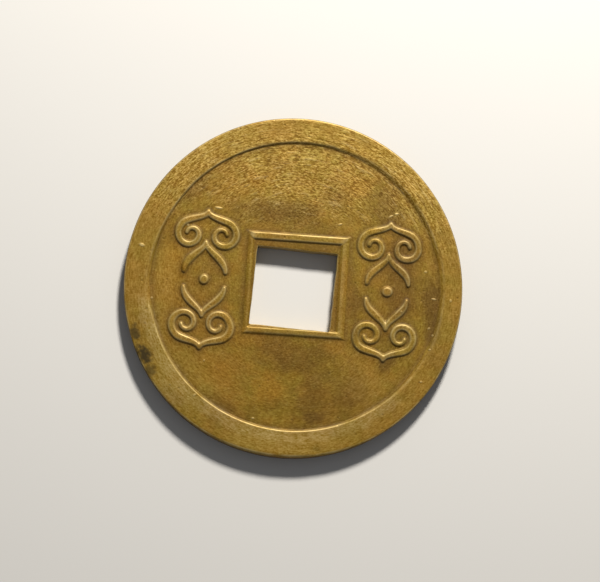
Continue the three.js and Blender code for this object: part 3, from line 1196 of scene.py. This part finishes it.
def streak_group(ring_place):
    """Short strokes that run round the coin, as handling wears them: about 0.25 to 0.75."""
    tree, given, leave = new_group(
        "Round Streaks",
        (
            ("Place", "NodeSocketVector", None),
            ("Length", "NodeSocketFloat", 0.5),
            ("Width", "NodeSocketFloat", 0.13),
            ("Shift", "NodeSocketFloat", 0.0),
        ),
        ("Value",),
    )
    parts = place_group(tree, ring_place, {"Place": given["Place"], "Along": STROKE_RADIUS})
    shifted = calculate(tree, "ADD", parts["Distance"], given["Shift"])
    place = add_node(tree, "ShaderNodeCombineXYZ", {0: parts["X"], 1: parts["Y"], 2: shifted})
    size = add_node(
        tree, "ShaderNodeCombineXYZ", {0: given["Length"], 1: given["Length"], 2: given["Width"]}
    )
    scaled = calculate_vector(tree, "DIVIDE", place.outputs[0], size.outputs[0]).outputs[0]
    value = noise(tree, scaled, scale=0.6, detail=1.5, roughness=0.6)
    tree.links.new(value, leave.inputs["Value"])
    return tree


def grain_group(streaks):
    """Fine grain: its tone, its specks, which are painted glints, and its height."""
    tree, given, leave = new_group(
        "Struck Grain",
        (("Place", "NodeSocketVector", None), ("Size", "NodeSocketFloat", 0.13)),
        ("Tone", "Specks", "Height"),
    )
    long = calculate(tree, "MULTIPLY", given["Size"], GRAIN_LENGTH)
    inputs = {"Place": given["Place"], "Length": long, "Width": given["Size"]}
    round_grain = place_group(tree, streaks, inputs)["Value"]
    scale = calculate(tree, "DIVIDE", GRAIN_PITCH, given["Size"])
    level = calculate_vector(tree, "MULTIPLY", given["Place"], GRAIN_STRETCH).outputs[0]
    plain_grain = noise(tree, level, scale, detail=3.0, roughness=0.65)
    tone = calculate(tree, "ADD", round_grain, plain_grain)
    tone = calculate(tree, "MULTIPLY", tone, 0.5)
    inputs = {"Value": tone, "From Min": GRAIN_TONES[0], "From Max": GRAIN_TONES[1]}
    spread = add_node(tree, "ShaderNodeMapRange", inputs).outputs["Result"]
    tree.links.new(spread, leave.inputs["Tone"])
    tree.links.new(rise_between(tree, plain_grain, *GRAIN_GLINTS), leave.inputs["Specks"])
    tree.links.new(tone, leave.inputs["Height"])
    return tree


def pit_group():
    """Small scattered pits and bumps."""
    tree, given, leave = new_group(
        "Pits",
        (
            ("Place", "NodeSocketVector", None),
            ("Spacing", "NodeSocketFloat", 0.7),
            ("Radius", "NodeSocketFloat", 0.16),
        ),
        ("Mask",),
    )
    scale = calculate(tree, "DIVIDE", 1.0, given["Spacing"])
    cells = add_node(tree, "ShaderNodeTexVoronoi", {"Vector": given["Place"], "Scale": scale})
    distance = cells.outputs["Distance"]
    pit = rise_between(tree, distance, low=0.0, high=given["Radius"], start=1.0, end=0.0)
    red = add_node(tree, "ShaderNodeSeparateColor", {0: cells.outputs["Color"]}).outputs[0]
    chosen = calculate(tree, "GREATER_THAN", red, NO_PITS)
    tree.links.new(calculate(tree, "MULTIPLY", pit, chosen), leave.inputs["Mask"])
    return tree


# The coin's material


class BrassNodes:
    """The aged brass while it is put together: one tree, the node groups and the places."""

    def __init__(self, finish):
        self.finish = finish
        self.material = bpy.data.materials.new("aged_brass")
        self.material.use_nodes = True
        self.tree = self.material.node_tree
        self.tree.nodes.clear()
        self.patch = patch_group()
        self.mottle = mottle_group()
        self.streaks = streak_group(ring_place_group())
        self.grain = grain_group(self.streaks)
        self.pits = pit_group()
        found = add_node(self.tree, "ShaderNodeTexCoord").outputs["Object"]
        to_mm = (1 / MM, 1 / MM, 1 / MM)
        deep = (1 / MM, 1 / MM, CLOUD_DEPTH / MM)
        self.place = calculate_vector(self.tree, "MULTIPLY", found, to_mm).outputs[0]
        self.deep_place = calculate_vector(self.tree, "MULTIPLY", found, deep).outputs[0]

    def attribute(self, name):
        """One of the values that the mesh carries."""
        return add_node(self.tree, "ShaderNodeAttribute", attribute_name=name).outputs["Fac"]

    def colour(self, name):
        """One of the finish's colours, with alpha."""
        return (*getattr(self.finish, name), 1.0)

    def patches(self, patches, height, ragged=0.9, tear=1.33):
        """All patches of a kind as one mask, on the face at that height.

        Their edges are ragged by a share of their reach, in tears of a length in millimetres.
        """
        total = None
        rough = noise(self.tree, self.place, 1 / tear, detail=5.0, roughness=0.62)
        edge = self.scaled(rough, 2 * ragged, -ragged)
        for patch in patches:
            inputs = {
                "Place": self.place,
                "Middle": (patch.x, patch.y, height),
                "Reach": (patch.along, patch.across, PATCH_DEPTH),
                "Turn": math.radians(patch.turn),
                "Ragged": edge,
            }
            mask = place_group(self.tree, self.patch, inputs)["Mask"]
            mask = calculate(self.tree, "MULTIPLY", mask, patch.strength)
            total = mask if total is None else calculate(self.tree, "MAXIMUM", total, mask)
        return total

    def cloud(self, rule):
        """Cloudy variation by one of the rules at the top."""
        inputs = {"Place": self.deep_place, "Size": rule.size, "Low": rule.low, "High": rule.high}
        return place_group(self.tree, self.mottle, inputs)["Mask"]

    def streak(self, length, width, shift):
        """Short strokes round the coin, of a length and width in millimetres."""
        inputs = {"Place": self.place, "Length": length, "Width": width, "Shift": shift}
        return place_group(self.tree, self.streaks, inputs)["Value"]

    def scaled(self, mask, amount, base=0.0):
        """A mask made weaker or stronger, and added to a base."""
        return calculate(self.tree, "MULTIPLY_ADD", mask, amount, base)

    def both(self, first, second):
        """The product of two masks."""
        return calculate(self.tree, "MULTIPLY", first, second)

    def covered(self, colour, mask, amount, name):
        """A colour, covered with one of the finish's colours as far as the mask says."""
        return mix_colours(self.tree, self.scaled(mask, amount), colour, self.colour(name))

    def layered(self, colour, layers):
        """A colour, covered layer by layer: each is a mask, an amount and a colour's name."""
        for mask, amount, name in layers:
            colour = self.covered(colour, mask, amount, name)
        return colour


def painted_lip_highlight(coin):
    """Patches side by side: a painted highlight along the rim's inner edge."""
    radius = rim_foot(coin) + coin.wall_slope + LIP_INSET
    patches = []
    for degrees in LIP_TURNS:
        turn = math.radians(degrees)
        x, y = die_middle(coin) + radius * np.array([math.cos(turn), math.sin(turn)])
        patches.append(Patch(x, y, *LIP_REACH, degrees + 90, 1.0))
    return patches


def placed_marks(nodes, coin):
    """Masks of the marks that have their places on the upper face."""
    top = coin.thickness
    return SimpleNamespace(
        grain_and_glint=nodes.patches(GRAIN_AND_GLINT_PATCHES, top),
        smooth=nodes.patches(SMOOTH_PATCHES, top),
        brown=nodes.patches(BROWN_CLOUDS, top),
        orange=nodes.patches(ORANGE_PATCHES, top),
        rubbed=nodes.patches(RUBBED_PATCHES, top),
        pale=nodes.patches([*PALE_PATCHES, *painted_lip_highlight(coin)], top),
        stains=nodes.patches(BLACK_STAINS, top, ragged=1.0, tear=0.4),
        nicks_and_glints=nodes.patches(NICKS_AND_GLINTS, top, ragged=0.0),
    )


def mesh_masks(nodes):
    """What the mesh says of its own surface."""
    names = ("recess", "hollow", "raised", "edge", "side")
    return SimpleNamespace(**{name: nodes.attribute(name) for name in names})


def worn_masks(nodes, face, marks):
    """Strokes that handling has left, pits, settled dirt with painted shade, and bare edges with
    painted highlight.
    """
    tree = nodes.tree
    strokes = nodes.streak(length=0.8, width=0.12, shift=3.0)
    rubbed = nodes.scaled(marks.grain_and_glint, 0.8, 0.1)
    pits = {"Place": nodes.deep_place, "Spacing": 0.62, "Radius": 0.2}
    return SimpleNamespace(
        light_strokes=nodes.both(rise_between(tree, strokes, *LIGHT_STROKES), rubbed),
        dark_strokes=nodes.both(rise_between(tree, strokes, *DARK_STROKES), rubbed),
        pitted=place_group(tree, nodes.pits, pits)["Mask"],
        # Dirt at the feet of raised walls, partly painted shade
        foot_dirt_and_shade=nodes.both(face.recess, nodes.cloud(DIRT_AND_SHADE_CLOUDS)),
        # Worn bare edges, partly painted highlight
        bare_and_highlight=nodes.both(face.edge, nodes.cloud(BARE_AND_HIGHLIGHT_CLOUDS)),
    )


def patina_colour(nodes, face, marks):
    """Olive and ochre, with brown and orange clouds, yellow where it is rubbed and as painted sheen,
    brown in hollows partly as painted shade, a painted lip highlight, and painted shade on the side.
    """
    tree = nodes.tree
    tone = nodes.cloud(TONE_CLOUDS)
    colour = mix_colours(tree, tone, nodes.colour("olive"), nodes.colour("ochre"))
    tints = mix_colours(tree, nodes.cloud(TINT_CLOUDS), GREENER, REDDER)
    colour = mix_colours(tree, nodes.scaled(marks.grain_and_glint, 0.5, 0.3), colour, tints, "MULTIPLY")
    layers = (
        (nodes.cloud(ORANGE_CLOUDS), 0.22, "orange"),
        (nodes.cloud(DARK_CLOUDS), 0.3, "brown"),
        (marks.brown, 0.75, "brown"),
        (marks.orange, 0.7, "orange"),
        # Partly rubbed brass, partly a painted sheen
        (marks.grain_and_glint, 0.28, "yellow"),
        (marks.rubbed, 0.5, "yellow"),
        # A paler patch of patina, and the painted lip highlight
        (marks.pale, 0.17, "bright"),
        # Brown in hollows: partly patina, partly painted shade
        (face.hollow, 0.4, "brown"),
        # Painted shade on the lower rounded outer edge and the side wall
        (face.side, 0.6, "dirt"),
        (face.raised, 0.14, "yellow"),
    )
    return nodes.layered(colour, layers)


def grained_colour(nodes, colour, grain, marks):
    """The same with the grain's light and dark, partly painted sparkle, and its bright specks, which
    are painted glints.
    """
    tree = nodes.tree
    amount = nodes.scaled(marks.grain_and_glint, 0.7, 0.42)
    centred_tone = nodes.scaled(grain["Tone"], 2.0, -1.0)
    shade = nodes.scaled(nodes.both(centred_tone, amount), nodes.finish.grain_shade)
    shade = calculate(tree, "MAXIMUM", shade, DARKEST_GRAIN)
    light = calculate_vector(tree, "MULTIPLY_ADD", GRAIN_LIGHT, shade, (1, 1, 1)).outputs[0]
    light = calculate_vector(tree, "MAXIMUM", light, LEAST_LIGHT).outputs[0]
    colour = calculate_vector(tree, "MULTIPLY", colour, light).outputs[0]
    # Painted glints: bright specks, strongest where the upper half glints
    painted_glints = nodes.both(grain["Specks"], amount)
    return nodes.covered(colour, painted_glints, 0.3, "bright")


def worn_colour(nodes, colour, worn, marks):
    """The same with strokes, pits, dirt with painted shade, bare edges with painted highlight, nicks
    with painted glints, and stains.
    """
    layers = (
        (worn.light_strokes, 0.2, "bright"),
        (worn.dark_strokes, 0.3, "brown"),
        (worn.pitted, 0.3, "dirt"),
        # Dirt at the walls' feet, partly painted shade
        (worn.foot_dirt_and_shade, 0.4, "dirt"),
        # Bare edges, partly painted highlight
        (worn.bare_and_highlight, 0.5, "bright"),
        # Nicks, their bright colour a painted glint
        (marks.nicks_and_glints, 0.55, "bright"),
        (marks.stains, 0.9, "stain"),
    )
    return nodes.layered(colour, layers)


def worn_roughness(nodes, grain, worn, marks):
    """Rougher in dirt and stains, and a little smoother where an edge is bare."""
    roughness = nodes.scaled(grain["Tone"], 0.12, nodes.finish.roughness - 0.06)
    roughness = nodes.scaled(worn.bare_and_highlight, -0.03, roughness)
    roughness = nodes.scaled(worn.foot_dirt_and_shade, 0.2, roughness)
    return calculate(nodes.tree, "MULTIPLY_ADD", marks.stains, 0.1, roughness, clamp=True)


def worn_height(nodes, grain, worn, marks):
    """How far the grain and the small marks stand up, in mm."""
    amount = nodes.scaled(marks.grain_and_glint, 0.75, 0.35)
    amount = nodes.scaled(marks.smooth, -0.2, amount)
    height = nodes.both(grain["Height"], amount)
    height = nodes.scaled(height, nodes.finish.grain_height / MM)
    height = nodes.scaled(worn.light_strokes, 0.004, height)
    height = nodes.scaled(worn.dark_strokes, -0.006, height)
    height = nodes.scaled(worn.pitted, -0.012, height)
    return nodes.scaled(marks.nicks_and_glints, 0.02, height)


def aged_brass(finish, coin):
    """Worn brass with olive, brown and orange patina, dirt and painted shade in its corners, bare
    edges with painted highlight, and painted glints.
    """
    nodes = BrassNodes(finish)
    tree = nodes.tree
    grain = place_group(tree, nodes.grain, {"Place": nodes.place, "Size": finish.grain / MM})
    marks = placed_marks(nodes, coin)
    face = mesh_masks(nodes)
    worn = worn_masks(nodes, face, marks)
    colour = patina_colour(nodes, face, marks)
    colour = grained_colour(nodes, colour, grain, marks)
    colour = worn_colour(nodes, colour, worn, marks)
    height = worn_height(nodes, grain, worn, marks)
    bump = add_node(tree, "ShaderNodeBump", {"Height": height, "Distance": MM, "Strength": 1.0})
    surface = add_node(
        tree,
        "ShaderNodeBsdfPrincipled",
        {
            "Base Color": colour,
            "Roughness": worn_roughness(nodes, grain, worn, marks),
            "Metallic": nodes.scaled(worn.foot_dirt_and_shade, -0.3, finish.metallic),
            "Specular IOR Level": finish.specular,
            "Normal": bump.outputs[0],
        },
    )
    add_node(tree, "ShaderNodeOutputMaterial", {"Surface": surface.outputs[0]})
    return nodes.material


def floor_material(settings):
    """A plain matt floor."""
    material = bpy.data.materials.new("pale_floor")
    material.use_nodes = True
    surface = material.node_tree.nodes["Principled BSDF"]
    surface.inputs["Base Color"].default_value = (*settings.floor, 1.0)
    surface.inputs["Roughness"].default_value = settings.floor_roughness
    return material


# Operators


def show(name, data):
    """A new object in the scene."""
    thing = bpy.data.objects.new(name, data)
    bpy.context.scene.collection.objects.link(thing)
    return thing


def away(turn, rise, distance):
    """A place at a distance, in the direction of a turn from +X and a rise above the floor."""
    level = distance * math.cos(rise)
    return Vector((level * math.cos(turn), level * math.sin(turn), distance * math.sin(rise)))


class CASHCOIN_OT_build_coin(bpy.types.Operator):
    """Build the worn, struck coin in the place of the plain solid."""

    bl_idname = "cash_coin.build_coin"
    bl_label = "Build Coin"

    def execute(self, context):
        kept = context.scene.cash_coin
        settings = SimpleNamespace(
            coin=in_millimetres(kept.coin),
            scrolls=in_millimetres(kept.scrolls),
            wear=in_millimetres(kept.wear),
        )
        piece = show("struck_coin", coin_mesh(settings))
        piece.data.materials.append(aged_brass(kept.brass, settings.coin))
        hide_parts("cash_coin")
        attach(piece, "root")
        return {"FINISHED"}


class CASHCOIN_OT_build_stage(bpy.types.Operator):
    """Set the pale floor, the soft light and the camera round the coin."""

    bl_idname = "cash_coin.build_stage"
    bl_label = "Build Stage"

    def execute(self, context):
        settings = context.scene.cash_coin.stage
        self.lay_floor(settings)
        self.hang_lights(context.scene, settings)
        self.set_camera(context.scene, settings)
        return {"FINISHED"}

    def lay_floor(self, settings):
        """A large plain square on which the coin lies."""
        plane = bmesh.new()
        bmesh.ops.create_grid(plane, x_segments=1, y_segments=1, size=settings.floor_size / 2)
        mesh = bpy.data.meshes.new("floor")
        plane.to_mesh(mesh)
        plane.free()
        mesh.materials.append(floor_material(settings))
        floor = show("floor", mesh)
        floor.location.z = COIN_LOW.z

    def hang_lights(self, scene, settings):
        """A soft round key light, and pale light from all round."""
        data = bpy.data.lights.new("key", "AREA")
        data.shape = "DISK"
        data.size = settings.key_size
        data.energy = settings.key_power
        data.color = settings.key_colour
        key = show("key", data)
        key.location = away(settings.key_turn, settings.key_rise, settings.key_distance)
        key.rotation_mode = "QUATERNION"
        key.rotation_quaternion = key.location.to_track_quat("Z", "Y")
        world = bpy.data.worlds.new("pale_room")
        world.use_nodes = True
        background = world.node_tree.nodes["Background"]
        background.inputs["Color"].default_value = (*settings.fill_colour, 1.0)
        background.inputs["Strength"].default_value = settings.fill
        scene.world = world
        scene.view_settings.view_transform = "Standard"

    def set_camera(self, scene, settings):
        """The camera at the photograph's angle."""
        data = bpy.data.cameras.new("camera")
        data.lens = settings.lens
        data.sensor_width = SENSOR_WIDTH
        data.clip_start = CLIP_START
        camera = show("camera", data)
        aim = Vector((settings.aim_x, settings.aim_y, settings.aim_z))
        back = away(settings.camera_turn, settings.camera_rise, settings.camera_distance)
        camera.location = aim + back
        camera.rotation_mode = "QUATERNION"
        roll = Quaternion((0, 0, 1), settings.camera_roll)
        camera.rotation_quaternion = back.to_track_quat("Z", "Y") @ roll
        scene.camera = camera


OPERATORS = (CASHCOIN_OT_build_coin, CASHCOIN_OT_build_stage)


class CASHCOIN_PT_sidebar(bpy.types.Panel):
    """Lists the coin's settings and its operators."""

    bl_idname = "CASHCOIN_PT_sidebar"
    bl_label = "Cash Coin"
    bl_space_type = "VIEW_3D"
    bl_region_type = "UI"
    bl_category = "Cash Coin"

    def draw(self, context):
        for operator in OPERATORS:
            self.layout.operator(operator.bl_idname)
        settings = context.scene.cash_coin
        for name in ("coin", "scrolls", "wear", "brass", "stage"):
            box = self.layout.box()
            group = getattr(settings, name)
            for rule in group.bl_rna.properties:
                if rule.type == "FLOAT":
                    box.prop(group, rule.identifier)


CLASSES = (
    CoinSizes,
    ScrollSizes,
    WearAmounts,
    BrassFinish,
    StageSettings,
    CashCoinSettings,
    *OPERATORS,
    CASHCOIN_PT_sidebar,
)


def register():
    """Makes the settings, operators and panel known to Blender."""
    for item in CLASSES:
        bpy.utils.register_class(item)
    bpy.types.Scene.cash_coin = PointerProperty(
        name="Cash coin", description="Settings of the cash coin", type=CashCoinSettings
    )


def unregister():
    """Takes them out again."""
    del bpy.types.Scene.cash_coin
    for item in reversed(CLASSES):
        bpy.utils.unregister_class(item)


def main():
    """Builds everything."""
    register()
    bpy.ops.cash_coin.build_coin()
    bpy.ops.cash_coin.build_stage()


if __name__ == "__main__":
    main()
